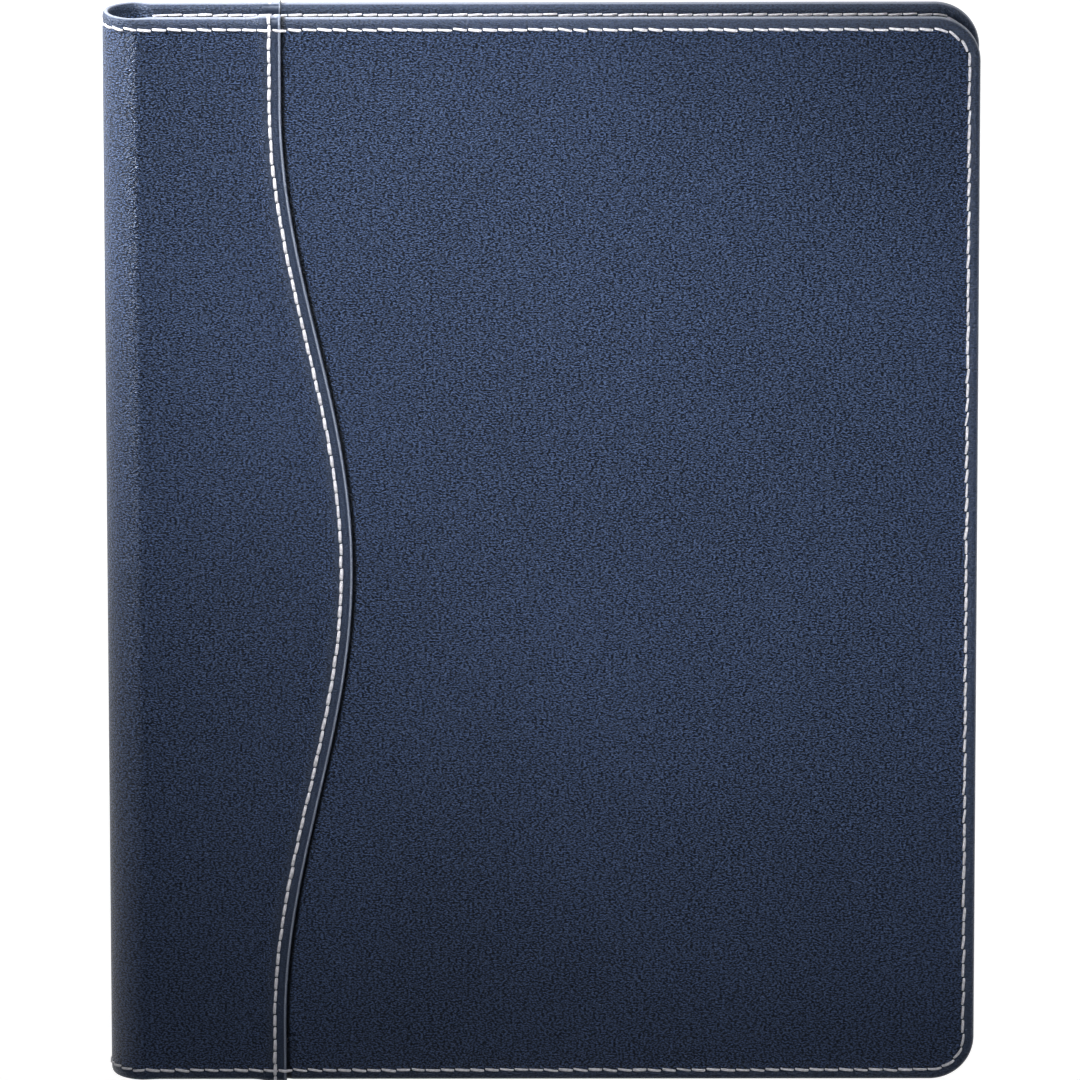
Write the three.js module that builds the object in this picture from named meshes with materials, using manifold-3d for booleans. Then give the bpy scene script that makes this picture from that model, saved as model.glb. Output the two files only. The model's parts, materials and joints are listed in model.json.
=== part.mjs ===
// A refillable journal in soft leatherette, closed and lying on its back cover.
// X runs from the spine to the fore edge, Y from the tail to the head, Z up through the thickness.
// The origin is under the middle of the journal, on the surface that it lies on. Millimetres.
import * as THREE from "three";
import { mergeVertices } from "three/addons/utils/BufferGeometryUtils.js";
import Module from "manifold-3d";

// Overall sizes
const JOURNAL_WIDTH = 184; // outermost line of the spine to the fore edge
const JOURNAL_HEIGHT = 235;
const JOURNAL_THICKNESS = 14.6; // outer face to outer face, without the raised seam
const CORNER_RADIUS = 9.5; // both fore-edge corners of each cover

// Cover layers, from the outer face inwards
const LEATHER_THICKNESS = 0.8;
const BOARD_THICKNESS = 1.2;
const LINING_THICKNESS = 0.4;
const LAYER_GAP = 0.05; // glue line between two layers
const EDGE_ROUNDING = 1.1; // radius of the rolled edge
const TURN_IN_WIDTH = 6; // leather folded over onto the inside
const BOARD_EDGE_CLEARANCE = 0.25;
const BOARD_SPINE_SETBACK = 2;
const LINING_EDGE_CLEARANCE = 0.2;

// Curved seam where the spine wrap overlaps the plain panel
const SEAM_FROM_FORE_EDGE = 149; // straight ends of the stitch line
const SEAM_BULGE = 14.6; // how far the curve swings towards the fore edge
const SEAM_BULGE_HALF_LENGTH = 102;
const SEAM_BULGE_BELOW_MIDDLE = 2.9;
const FOLD_BEYOND_STITCHES = 2.5; // folded edge of the wrap
const MARGIN_UNDER_WRAP = 2.5; // panel leather hidden under the wrap, beyond the stitches
const MARGIN_THICKNESS = 0.35; // panel leather pared down there
const RIDGE_HEIGHT = 0.5; // the seam stands this proud of the front
const RIDGE_SLOPE_WIDTH = 1.6;
const SEAM_STEPS = 44;

// Stitching
const STITCH_INSET = 2.35; // stitch line to the edge
const THREAD_WIDTH = 0.5;
const THREAD_DEPTH = 0.26;
const GROOVE_WIDTH = 0.9;
const GROOVE_DEPTH = 0.33;

// Spine, a half round of soft leather that creases along two lines as the journal opens
const CREASE_ANGLE = Math.PI / 4; // from the cover's flat face round to its crease
const CREASE_GAP = 0.16; // half the slit at a crease
const SPINE_LINING_THICKNESS = 0.4;
const BEND_STEPS = 10; // facets in a quarter of the half round
const BEND_ROOT = 1; // the bend's leather and thread run this far onto the flat of the cover

// Refill notebook
const REFILL_FROM_SPINE_EDGE = 0.2; // binding edge to the line where the cover starts to bend
const CARD_CLEARANCE = 0.7; // round the back card in its sleeve; the leaves are as large as the card
const BACK_CARD_THICKNESS = 0.7;
const FRONT_CARD_THICKNESS = 0.6;
const LOWER_SIGNATURE_THICKNESS = 0.9;
const UPPER_SIGNATURE_THICKNESS = 0.8;
const SIGNATURES_PER_HALF = 3;
const TURNING_GAP = 0.15; // between pieces that turn past each other
const TAPE_THICKNESS = 0.3;
const TAPE_CLEARANCE = 0.1;
const PAGE_CORNER_RADIUS = 3;

// Sleeve on the back cover for the refill's card, and document pocket on the front cover
const POCKET_SHEET_THICKNESS = 0.45;
const POCKET_SEAM_WIDTH = 3;
const POCKET_EDGE_CLEARANCE = 0.3;
const SLEEVE_FROM_FORE_EDGE = 122; // open side of the sleeve
const SLEEVE_DEPTH = 1.0; // room under the sleeve for the card
const POCKET_DEPTH = 0.6;
const POCKET_HEIGHT = 125; // document pocket, from its tail edge

// Derived places
const coverThickness = LEATHER_THICKNESS + BOARD_THICKNESS + LINING_THICKNESS + 2 * LAYER_GAP;
const foreEdgeX = JOURNAL_WIDTH / 2;
const halfHeight = JOURNAL_HEIGHT / 2;
const spineRadius = JOURNAL_THICKNESS / 2;
const spineEdgeX = -JOURNAL_WIDTH / 2 + spineRadius; // the flat of the covers ends here
const creaseGapAngle = CREASE_GAP / spineRadius;
const spineLip = LEATHER_THICKNESS + SPINE_LINING_THICKNESS; // leather and its turn-in at head and tail
const creaseEnd = CREASE_ANGLE - creaseGapAngle; // where a cover stops at its crease
const creaseStart = CREASE_ANGLE + creaseGapAngle; // where the spine piece starts
const seamBaseX = foreEdgeX - SEAM_FROM_FORE_EDGE;
const bindingX = spineEdgeX + REFILL_FROM_SPINE_EDGE;
const sleeveInset = TURN_IN_WIDTH + POCKET_EDGE_CLEARANCE + POCKET_SEAM_WIDTH;
const pageEndX = foreEdgeX - sleeveInset - CARD_CLEARANCE;
const pageTop = halfHeight - sleeveInset - CARD_CLEARANCE;
const threadLow = GROOVE_DEPTH - LAYER_GAP - THREAD_DEPTH; // thread's outer side, below the outer face
const cutReach = 20; // cutting shapes run this far past what they cut

// X of the stitch line at height y, as the front cover shows it.
function seamX(y) {
  const along = (y + SEAM_BULGE_BELOW_MIDDLE) / SEAM_BULGE_HALF_LENGTH;
  const swing = Math.abs(along) < 1 ? 0.5 * (1 + Math.cos(Math.PI * along)) : 0;
  return seamBaseX + SEAM_BULGE * swing;
}

const wasm = await Module();
wasm.setup();

function toSolid(geometry) {
  const bare = geometry.clone();
  bare.deleteAttribute("normal");
  bare.deleteAttribute("uv");
  const merged = mergeVertices(bare, 1e-4);
  return new wasm.Manifold(
    new wasm.Mesh({
      numProp: 3,
      vertProperties: merged.attributes.position.array,
      triVerts: new Uint32Array(merged.index.array),
    }),
  );
}

function toGeometry(solid) {
  const mesh = solid.getMesh();
  const geometry = new THREE.BufferGeometry()
    .setAttribute("position", new THREE.BufferAttribute(mesh.vertProperties, 3))
    .setIndex(new THREE.BufferAttribute(mesh.triVerts, 1));
  geometry.computeVertexNormals();
  return geometry;
}

// Cover outline drawn in from the edges by inset, with its left side at leftX.
function coverShape(inset, leftX) {
  const right = foreEdgeX - inset;
  const top = halfHeight - inset;
  const radius = Math.max(CORNER_RADIUS - inset, 0.5);
  const shape = new THREE.Shape();
  shape.moveTo(leftX, -top);
  shape.lineTo(right - radius, -top);
  shape.absarc(right - radius, -top + radius, radius, -Math.PI / 2, 0, false);
  shape.lineTo(right, top - radius);
  shape.absarc(right - radius, top - radius, radius, 0, Math.PI / 2, false);
  shape.lineTo(leftX, top);
  shape.closePath();
  return shape;
}

function extrude(shape, zLow, zHigh) {
  const options = { depth: zHigh - zLow, bevelEnabled: false, curveSegments: 8 };
  return toSolid(new THREE.ExtrudeGeometry(shape, options).translate(0, 0, zLow));
}

function box(xLow, xHigh, yLow, yHigh, zLow, zHigh) {
  const geometry = new THREE.BoxGeometry(xHigh - xLow, yHigh - yLow, zHigh - zLow);
  geometry.translate((xLow + xHigh) / 2, (yLow + yHigh) / 2, (zLow + zHigh) / 2);
  return toSolid(geometry);
}

// A section of (sideways, z) points swept along the seam. A front cover is built face down,
// so its own y runs from head to tail and facing is -1.
function alongSeam(section, facing, reach) {
  const outline = section.map(([u, z]) => new THREE.Vector2(u, z));
  if (THREE.ShapeUtils.isClockWise(outline)) outline.reverse();
  const count = outline.length;
  const points = [];
  const faces = [];
  for (let i = 0; i <= SEAM_STEPS; i++) {
    const y = -reach + (2 * reach * i) / SEAM_STEPS;
    for (const corner of outline) points.push(seamX(facing * y) + corner.x, y, corner.y);
  }
  for (let i = 0; i < SEAM_STEPS; i++) {
    for (let j = 0; j < count; j++) {
      const a = i * count + j;
      const b = i * count + ((j + 1) % count);
      faces.push(a, b + count, b, a, a + count, b + count);
    }
  }
  const last = SEAM_STEPS * count;
  for (const corners of THREE.ShapeUtils.triangulateShape(outline, [])) {
    const turned = THREE.ShapeUtils.isClockWise(corners.map((k) => outline[k]));
    const [a, b, c] = turned ? corners.slice().reverse() : corners;
    faces.push(a, b, c, last + c, last + b, last + a);
  }
  return toSolid(
    new THREE.BufferGeometry()
      .setAttribute("position", new THREE.BufferAttribute(new Float32Array(points), 3))
      .setIndex(faces),
  );
}

// The flat side of the seam from sideways offset u towards the spine (-1) or the fore edge (1).
function seamSide(u, direction, zLow, zHigh, facing) {
  const far = direction * (JOURNAL_WIDTH + cutReach);
  const section = [[u, zLow], [far, zLow], [far, zHigh], [u, zHigh]];
  return alongSeam(section, facing, halfHeight + cutReach);
}

// A band that follows three sides of the cover at a distance from the edge.
function edgeBand(inset, width, leftX, zLow, zHigh) {
  const outer = extrude(coverShape(inset - width / 2, leftX), zLow, zHigh);
  const inner = coverShape(inset + width / 2, leftX - cutReach);
  return outer.subtract(extrude(inner, zLow - 1, zHigh + 1));
}

// A band of the spine's half round from one angle to another, counted from the edge of the flat
// cover. Depth is counted inwards from the outer face, and straight runs on into the flat.
function bend(depthLow, depthHigh, angleLow, angleHigh, yLow, yHigh, straight = 0) {
  const steps = Math.ceil((BEND_STEPS * (angleHigh - angleLow)) / (Math.PI / 2));
  const side = (depth) => {
    const radius = spineRadius - depth;
    const points = straight > 0 ? [new THREE.Vector2(spineEdgeX + straight, depth)] : [];
    for (let i = 0; i <= steps; i++) {
      const angle = angleLow + ((angleHigh - angleLow) * i) / steps;
      points.push(
        new THREE.Vector2(spineEdgeX - radius * Math.sin(angle), spineRadius - radius * Math.cos(angle)),
      );
    }
    return points;
  };
  const shape = new THREE.Shape([...side(depthLow), ...side(depthHigh).reverse()]);
  const geometry = new THREE.ExtrudeGeometry(shape, { depth: yHigh - yLow, bevelEnabled: false });
  geometry.rotateX(Math.PI / 2).translate(0, yHigh, 0);
  return toSolid(geometry);
}

// Leather of the spine, turned in at head and tail.
function bendLeather(angleLow, angleHigh, straight) {
  const inside = halfHeight - TURN_IN_WIDTH;
  return bend(0, LEATHER_THICKNESS, angleLow, angleHigh, -halfHeight, halfHeight, straight)
    .add(bend(LEATHER_THICKNESS / 2, spineLip, angleLow, angleHigh, -halfHeight, -inside, straight))
    .add(bend(LEATHER_THICKNESS / 2, spineLip, angleLow, angleHigh, inside, halfHeight, straight));
}

function bendLining(angleLow, angleHigh, straight) {
  const reach = halfHeight - TURN_IN_WIDTH - LINING_EDGE_CLEARANCE;
  const low = LEATHER_THICKNESS + LAYER_GAP;
  return bend(low, low + SPINE_LINING_THICKNESS, angleLow, angleHigh, -reach, reach, straight);
}

// A row of edge stitches, or the groove for it, as it goes on across the spine at head (1) or tail (-1).
function bendStitches(end, width, depthLow, depthHigh, angleLow, angleHigh, straight) {
  const y = end * (halfHeight - STITCH_INSET);
  return bend(depthLow, depthHigh, angleLow, angleHigh, y - width / 2, y + width / 2, straight);
}

function bendGrooves(angleLow, angleHigh, straight) {
  const past = creaseGapAngle;
  return bendStitches(1, GROOVE_WIDTH, -1, GROOVE_DEPTH, angleLow - past, angleHigh + past, straight)
    .add(bendStitches(-1, GROOVE_WIDTH, -1, GROOVE_DEPTH, angleLow - past, angleHigh + past, straight));
}

// Leather of a whole cover: outer face, rolled edges and turn-in, open towards the spine.
function coverShell() {
  const rounding = Math.min(EDGE_ROUNDING, coverThickness / 2 - 0.05);
  const geometry = new THREE.ExtrudeGeometry(coverShape(rounding, spineEdgeX - cutReach), {
    depth: coverThickness - 2 * rounding,
    bevelEnabled: true,
    bevelThickness: rounding,
    bevelSize: rounding,
    bevelSegments: 3,
    curveSegments: 8,
  }).translate(0, 0, rounding);
  const cavity = extrude(
    coverShape(LEATHER_THICKNESS, spineEdgeX - 2 * cutReach),
    LEATHER_THICKNESS,
    coverThickness - LINING_THICKNESS,
  );
  const mouth = extrude(
    coverShape(TURN_IN_WIDTH, spineEdgeX - 2 * cutReach),
    LEATHER_THICKNESS + 0.1,
    coverThickness + 1,
  );
  const spineCut = box(
    spineEdgeX - 3 * cutReach, spineEdgeX,
    -halfHeight - cutReach, halfHeight + cutReach,
    -cutReach, cutReach,
  );
  return toSolid(geometry).subtract(cavity).subtract(mouth).subtract(spineCut);
}

// Cuts for the two rows of edge stitches, on the outer face and on the turn-in.
function edgeGrooves() {
  const outside = edgeBand(STITCH_INSET, GROOVE_WIDTH, spineEdgeX - 1, -RIDGE_HEIGHT - 1, GROOVE_DEPTH);
  const inside = edgeBand(
    STITCH_INSET, GROOVE_WIDTH, spineEdgeX - 1,
    coverThickness - GROOVE_DEPTH, coverThickness + 1,
  );
  return outside.add(inside);
}

function panelLeather(facing) {
  const covered = seamSide(FOLD_BEYOND_STITCHES + LAYER_GAP, -1, -1, LEATHER_THICKNESS - MARGIN_THICKNESS, facing);
  const beyond = seamSide(-MARGIN_UNDER_WRAP, -1, -1, coverThickness + 1, facing);
  return coverShell().subtract(covered).subtract(beyond).subtract(edgeGrooves());
}

function spineWrap(facing, ridge) {
  const lap = LEATHER_THICKNESS - MARGIN_THICKNESS - LAYER_GAP;
  const lapStart = -MARGIN_UNDER_WRAP - LAYER_GAP;
  let solid = coverShell()
    .subtract(seamSide(FOLD_BEYOND_STITCHES, 1, -1, coverThickness + 1, facing))
    .subtract(seamSide(lapStart, 1, lap, coverThickness + 1, facing));
  if (ridge > 0) {
    const raised = [
      [lapStart - RIDGE_SLOPE_WIDTH, 0.2],
      [lapStart - RIDGE_SLOPE_WIDTH, 0],
      [lapStart, -0.7 * ridge],
      [lapStart + 1, -ridge],
      [FOLD_BEYOND_STITCHES - 0.5, -ridge],
      [FOLD_BEYOND_STITCHES, -0.5 * ridge],
      [FOLD_BEYOND_STITCHES, lap],
      [lapStart, lap],
    ];
    solid = solid.add(alongSeam(raised, facing, halfHeight - EDGE_ROUNDING));
  }
  const groove = [
    [-GROOVE_WIDTH / 2, -ridge - 1],
    [GROOVE_WIDTH / 2, -ridge - 1],
    [GROOVE_WIDTH / 2, GROOVE_DEPTH - ridge],
    [-GROOVE_WIDTH / 2, GROOVE_DEPTH - ridge],
  ];
  return solid
    .add(bendLeather(0, creaseEnd, BEND_ROOT))
    .subtract(alongSeam(groove, facing, halfHeight + 1))
    .subtract(edgeGrooves())
    .subtract(bendGrooves(creaseGapAngle, creaseEnd, BEND_ROOT));
}

function seamThread(facing, ridge) {
  const low = GROOVE_DEPTH - ridge - LAYER_GAP;
  const section = [
    [-THREAD_WIDTH / 2, low - THREAD_DEPTH],
    [THREAD_WIDTH / 2, low - THREAD_DEPTH],
    [THREAD_WIDTH / 2, low],
    [-THREAD_WIDTH / 2, low],
  ];
  const reach = halfHeight - STITCH_INSET - GROOVE_WIDTH;
  return alongSeam(section, facing, reach);
}

function edgeThread(outside) {
  const low = outside ? threadLow : coverThickness - GROOVE_DEPTH + LAYER_GAP;
  const band = edgeBand(STITCH_INSET, THREAD_WIDTH, spineEdgeX, low, low + THREAD_DEPTH);
  return outside ? band.add(bendThread(1, 0, creaseEnd, BEND_ROOT)).add(bendThread(-1, 0, creaseEnd, BEND_ROOT)) : band;
}

function bendThread(end, angleLow, angleHigh, straight) {
  return bendStitches(end, THREAD_WIDTH, threadLow, threadLow + THREAD_DEPTH, angleLow, angleHigh, straight);
}

function board() {
  const shape = coverShape(LEATHER_THICKNESS + BOARD_EDGE_CLEARANCE, spineEdgeX + BOARD_SPINE_SETBACK);
  return extrude(shape, LEATHER_THICKNESS + LAYER_GAP, LEATHER_THICKNESS + LAYER_GAP + BOARD_THICKNESS);
}

// The lining lies on the board, steps down past its end and goes on round the spine.
function lining() {
  const shape = coverShape(TURN_IN_WIDTH + LINING_EDGE_CLEARANCE, spineEdgeX);
  const reach = halfHeight - TURN_IN_WIDTH - LINING_EDGE_CLEARANCE;
  const step = box(
    spineEdgeX, spineEdgeX + LINING_THICKNESS, -reach, reach, LEATHER_THICKNESS + LAYER_GAP, coverThickness,
  );
  return extrude(shape, coverThickness - LINING_THICKNESS, coverThickness)
    .add(step)
    .add(bendLining(0, creaseEnd, LINING_THICKNESS));
}

// A sheet that stands off the lining and comes down to it along its stitched sides, open towards
// the spine. Only what lies between yLow and yHigh is made.
function pocket(leftX, depth, yLow, yHigh) {
  const inset = TURN_IN_WIDTH + POCKET_EDGE_CLEARANCE;
  const foot = coverThickness + LAYER_GAP;
  const roof = foot + depth;
  const sheet = extrude(coverShape(inset, leftX), foot, roof + POCKET_SHEET_THICKNESS);
  const hollow = extrude(coverShape(sleeveInset, leftX - cutReach), foot - 1, roof);
  const window = box(leftX, foreEdgeX, yLow, yHigh, foot - 1, roof + 1);
  return sheet.intersect(window).subtract(hollow);
}

// Stitches that hold a pocket's sides, sunk a little below its face.
function pocketStitchBand(width, leftX, yLow, yHigh, zLow, zHigh) {
  const inset = TURN_IN_WIDTH + POCKET_EDGE_CLEARANCE + POCKET_SEAM_WIDTH / 2;
  return edgeBand(inset, width, leftX, zLow, zHigh).intersect(
    box(leftX, foreEdgeX, yLow, yHigh, zLow - 1, zHigh + 1),
  );
}

const materials = {
  leather: () => new THREE.MeshStandardMaterial({ color: 0x3a4560, roughness: 0.55, metalness: 0 }),
  thread: () => new THREE.MeshStandardMaterial({ color: 0xe9e6ef, roughness: 0.7, metalness: 0 }),
  lining: () => new THREE.MeshStandardMaterial({ color: 0x23283a, roughness: 0.85, metalness: 0 }),
  board: () => new THREE.MeshStandardMaterial({ color: 0x8c8478, roughness: 0.9, metalness: 0 }),
  card: () => new THREE.MeshStandardMaterial({ color: 0x1d2028, roughness: 0.8, metalness: 0 }),
  paper: () => new THREE.MeshStandardMaterial({ color: 0xf1ead8, roughness: 0.9, metalness: 0 }),
  tape: () => new THREE.MeshStandardMaterial({ color: 0x15161b, roughness: 0.9, metalness: 0 }),
};

const journal = new THREE.Group();

function place(parent, name, solid, material) {
  const mesh = new THREE.Mesh(toGeometry(solid), materials[material]());
  mesh.name = name;
  parent.add(mesh);
  return mesh;
}

// Both covers are built with the outer face at z = 0 and the inside up.
function addCover(group, side, facing, ridge) {
  place(group, `${side}_panel_leather`, panelLeather(facing), "leather");
  place(group, `spine_wrap_${side}`, spineWrap(facing, ridge), "leather");
  place(group, `${side}_board`, board(), "board");
  place(group, `${side}_lining`, lining(), "lining");
  place(group, `${side}_edge_thread`, edgeThread(true), "thread");
  place(group, `${side}_edge_bobbin_thread`, edgeThread(false), "thread");
  place(group, `${side}_seam_thread`, seamThread(facing, ridge), "thread");
}

const backCover = new THREE.Group();
addCover(backCover, "back", 1, 0);
journal.add(backCover);

// The front cover is the same thing turned over, so its seam runs the other way in its own frame.
const frontCover = new THREE.Group();
frontCover.rotation.x = Math.PI;
frontCover.position.z = JOURNAL_THICKNESS;
addCover(frontCover, "front", -1, RIDGE_HEIGHT);
journal.add(frontCover);

// Sleeve for the refill's back card, open towards the spine
const sleeveLeftX = foreEdgeX - SLEEVE_FROM_FORE_EDGE;
const sleeveTop = coverThickness + LAYER_GAP + SLEEVE_DEPTH + POCKET_SHEET_THICKNESS;
const sleeveGroove = pocketStitchBand(
  GROOVE_WIDTH, sleeveLeftX - 1, -halfHeight, halfHeight, sleeveTop - GROOVE_DEPTH, sleeveTop + 1,
);
const sleeveThreadLow = sleeveTop - GROOVE_DEPTH + LAYER_GAP;
place(
  backCover,
  "back_sleeve",
  pocket(sleeveLeftX, SLEEVE_DEPTH, -halfHeight, halfHeight).subtract(sleeveGroove),
  "lining",
);
place(
  backCover,
  "back_sleeve_thread",
  pocketStitchBand(
    THREAD_WIDTH, sleeveLeftX, -halfHeight, halfHeight, sleeveThreadLow, sleeveThreadLow + THREAD_DEPTH,
  ),
  "thread",
);

// Document pocket, open towards the head. In the front cover's own frame the tail is at +Y.
const pocketLeftX = spineEdgeX + 6;
const pocketMouthY = halfHeight - TURN_IN_WIDTH - POCKET_EDGE_CLEARANCE - POCKET_HEIGHT;
const pocketTop = coverThickness + LAYER_GAP + POCKET_DEPTH + POCKET_SHEET_THICKNESS;
const pocketGroove = pocketStitchBand(
  GROOVE_WIDTH, pocketLeftX - 1, pocketMouthY - 1, halfHeight, pocketTop - GROOVE_DEPTH, pocketTop + 1,
);
const pocketThreadLow = pocketTop - GROOVE_DEPTH + LAYER_GAP;
const pocketSpineSide = box(
  pocketLeftX, pocketLeftX + POCKET_SEAM_WIDTH,
  pocketMouthY, halfHeight - TURN_IN_WIDTH - POCKET_EDGE_CLEARANCE,
  coverThickness + LAYER_GAP, pocketTop,
);
place(
  frontCover,
  "front_pocket",
  pocket(pocketLeftX, POCKET_DEPTH, pocketMouthY, halfHeight)
    .add(pocketSpineSide)
    .subtract(pocketGroove),
  "lining",
);
place(
  frontCover,
  "front_pocket_thread",
  pocketStitchBand(
    THREAD_WIDTH, pocketLeftX, pocketMouthY, halfHeight, pocketThreadLow, pocketThreadLow + THREAD_DEPTH,
  ),
  "thread",
);

// Spine between the two creases
const spine = new THREE.Group();
journal.add(spine);
const spineSpan = [creaseStart, Math.PI - creaseStart];
place(
  spine,
  "spine_leather",
  bendLeather(...spineSpan, 0).subtract(bendGrooves(...spineSpan, 0)),
  "leather",
);
place(spine, "spine_lining", bendLining(...spineSpan, 0), "lining");
place(spine, "spine_thread_head", bendThread(1, ...spineSpan, 0), "thread");
place(spine, "spine_thread_tail", bendThread(-1, ...spineSpan, 0), "thread");

// Refill notebook: two cards, folded sheets in signatures and a binding tape in two halves
function sheetStack(zLow, thickness) {
  const shape = new THREE.Shape();
  const radius = PAGE_CORNER_RADIUS;
  shape.moveTo(bindingX, -pageTop);
  shape.lineTo(pageEndX - radius, -pageTop);
  shape.absarc(pageEndX - radius, -pageTop + radius, radius, -Math.PI / 2, 0, false);
  shape.lineTo(pageEndX, pageTop - radius);
  shape.absarc(pageEndX - radius, pageTop - radius, radius, 0, Math.PI / 2, false);
  shape.lineTo(bindingX, pageTop);
  shape.closePath();
  return extrude(shape, zLow, zLow + thickness);
}

function tape(zLow, zHigh) {
  const right = bindingX - TAPE_CLEARANCE;
  return box(right - TAPE_THICKNESS, right, -pageTop, pageTop, zLow, zHigh);
}

const refill = new THREE.Group();
journal.add(refill);
const backCardLow = coverThickness + 2 * LAYER_GAP;
place(refill, "refill_back_card", sheetStack(backCardLow, BACK_CARD_THICKNESS), "card");
let level = sleeveTop + 2 * LAYER_GAP;
for (let i = 0; i < SIGNATURES_PER_HALF; i++) {
  const number = 2 * SIGNATURES_PER_HALF - i;
  place(refill, `signature_${number}`, sheetStack(level, LOWER_SIGNATURE_THICKNESS), "paper");
  level += LOWER_SIGNATURE_THICKNESS + LAYER_GAP;
}
place(refill, "refill_tape_back", tape(backCardLow, level - LAYER_GAP), "tape");

const upperLow = level - LAYER_GAP + 2 * TURNING_GAP;
level = upperLow;
for (let i = 0; i < SIGNATURES_PER_HALF; i++) {
  const number = SIGNATURES_PER_HALF - i;
  place(refill, `signature_${number}`, sheetStack(level, UPPER_SIGNATURE_THICKNESS), "paper");
  level += UPPER_SIGNATURE_THICKNESS + TURNING_GAP;
}
place(refill, "refill_front_card", sheetStack(level, FRONT_CARD_THICKNESS), "card");
place(refill, "refill_tape_front", tape(upperLow, level + FRONT_CARD_THICKNESS), "tape");

export default journal;
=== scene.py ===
"""A refillable journal in navy leatherette, closed, seen from above its head edge.

The leather is laid out as it is cut: a plain panel and a spine wrap for each cover, turned over the
boards and stitched. Sizes are in millimetres in the code and become metres on the way into Blender.
"""
import json
import math

import bmesh
import bpy
import numpy as np
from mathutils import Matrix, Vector


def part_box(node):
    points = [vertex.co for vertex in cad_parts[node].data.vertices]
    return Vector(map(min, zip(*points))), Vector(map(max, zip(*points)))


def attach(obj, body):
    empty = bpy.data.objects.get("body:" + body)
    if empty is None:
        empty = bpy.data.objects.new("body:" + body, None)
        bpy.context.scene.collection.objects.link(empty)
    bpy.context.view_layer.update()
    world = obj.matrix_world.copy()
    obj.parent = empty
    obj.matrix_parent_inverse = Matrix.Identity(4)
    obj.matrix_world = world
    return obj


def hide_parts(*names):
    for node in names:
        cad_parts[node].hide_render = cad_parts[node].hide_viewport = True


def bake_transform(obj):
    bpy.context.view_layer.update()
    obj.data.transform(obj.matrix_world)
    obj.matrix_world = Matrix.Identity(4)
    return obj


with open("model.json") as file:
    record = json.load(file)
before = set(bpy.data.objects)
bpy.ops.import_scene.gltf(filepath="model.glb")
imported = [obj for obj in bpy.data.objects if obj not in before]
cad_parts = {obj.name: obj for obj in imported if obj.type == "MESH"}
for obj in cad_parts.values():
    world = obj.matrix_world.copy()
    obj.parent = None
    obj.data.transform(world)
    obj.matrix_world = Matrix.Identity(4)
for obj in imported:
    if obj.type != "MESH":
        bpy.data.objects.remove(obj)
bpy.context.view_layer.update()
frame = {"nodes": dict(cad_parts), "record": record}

bl_info = {
    "name": "Leatherette Journal",
    "version": (1, 0, 0),
    "blender": (4, 5, 0),
    "location": "3D View > Sidebar > Journal",
    "description": "Dresses the journal's frame in leather, thread, lining and paper",
    "category": "Object",
}

MM = 0.001

# Sizes that the frame gives
FORE_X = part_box("front_panel_leather")[1].x / MM
HALF_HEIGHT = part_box("front_panel_leather")[1].y / MM
THICKNESS = next(m for m in frame["record"]["mounts"] if m["name"] == "front_face")["pos_m"][2] / MM
SPINE_RADIUS = THICKNESS / 2
SPINE_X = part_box("spine_leather")[0].x / MM + SPINE_RADIUS
COVER_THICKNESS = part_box("back_lining")[1].z / MM
SLEEVE_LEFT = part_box("back_sleeve")[0].x / MM
SLEEVE_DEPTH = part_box("back_sleeve")[1].z / MM
SLEEVE_INSET = FORE_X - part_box("back_sleeve")[1].x / MM
POCKET_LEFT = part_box("front_pocket")[0].x / MM
POCKET_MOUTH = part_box("front_pocket")[1].y / MM
POCKET_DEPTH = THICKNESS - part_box("front_pocket")[0].z / MM

# Sizes of the cut and the sewing
CORNER_RADIUS = 9.5
TURN_IN = 6.0
RIM_REACH = 6.5  # the rim's cross-section ends this far in, on the flat
STITCH_INSET = 2.35
SEAM_BASE_X = FORE_X - 149
SEAM_BULGE = 14.6
SEAM_BULGE_HALF_LENGTH = 102
SEAM_BULGE_BELOW_MIDDLE = 2.9
PANEL_MARGIN = 2.5  # of the panel, hidden under the wrap
LEAF_CORNER_RADIUS = 3
SPINE_EDGE_THICKNESS = 1.5  # turned edge of the spine, where it has no board in it
LEATHER = 0.45
HALF_ARC = SPINE_RADIUS * math.pi / 2
CHANNEL = 0.12  # depth that the stitches press into the outer face
INNER_CHANNEL = 0.13  # and into the turn-in
EDGE_PUCKER = 0.09  # how much deeper the leather goes at a needle hole of the edge row
SEAM_PUCKER = 0.08  # and of the seam's row
PUCKER_REACH = 0.5  # how far from the edge row it does so
PLEAT_DEPTH = 0.5
LINING_THICKNESS = 0.2
LINING_SUNK = 0.2  # of the lining's face, under the face of the turn-in
SPINE_LINING_DEPTH = 1.25  # from the spine's outer face
POCKET_STITCH_INSET = 1.5
POCKET_CHANNEL = 0.16  # depth that the stitches press into a pocket
POCKET_THREAD_DEPTH = 0.14  # of the stitches' line, just above the channel's floor
POCKET_GAP = 0.05  # between a pocket and the lining
LEAN = 0.3  # how far a stitch slants, end to end
EDGE_FULLNESS, SEAM_FULLNESS = 1.1, 1.3  # of the stitches' width and height
LEAVES = 9  # that stand for a signature's sheets

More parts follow.
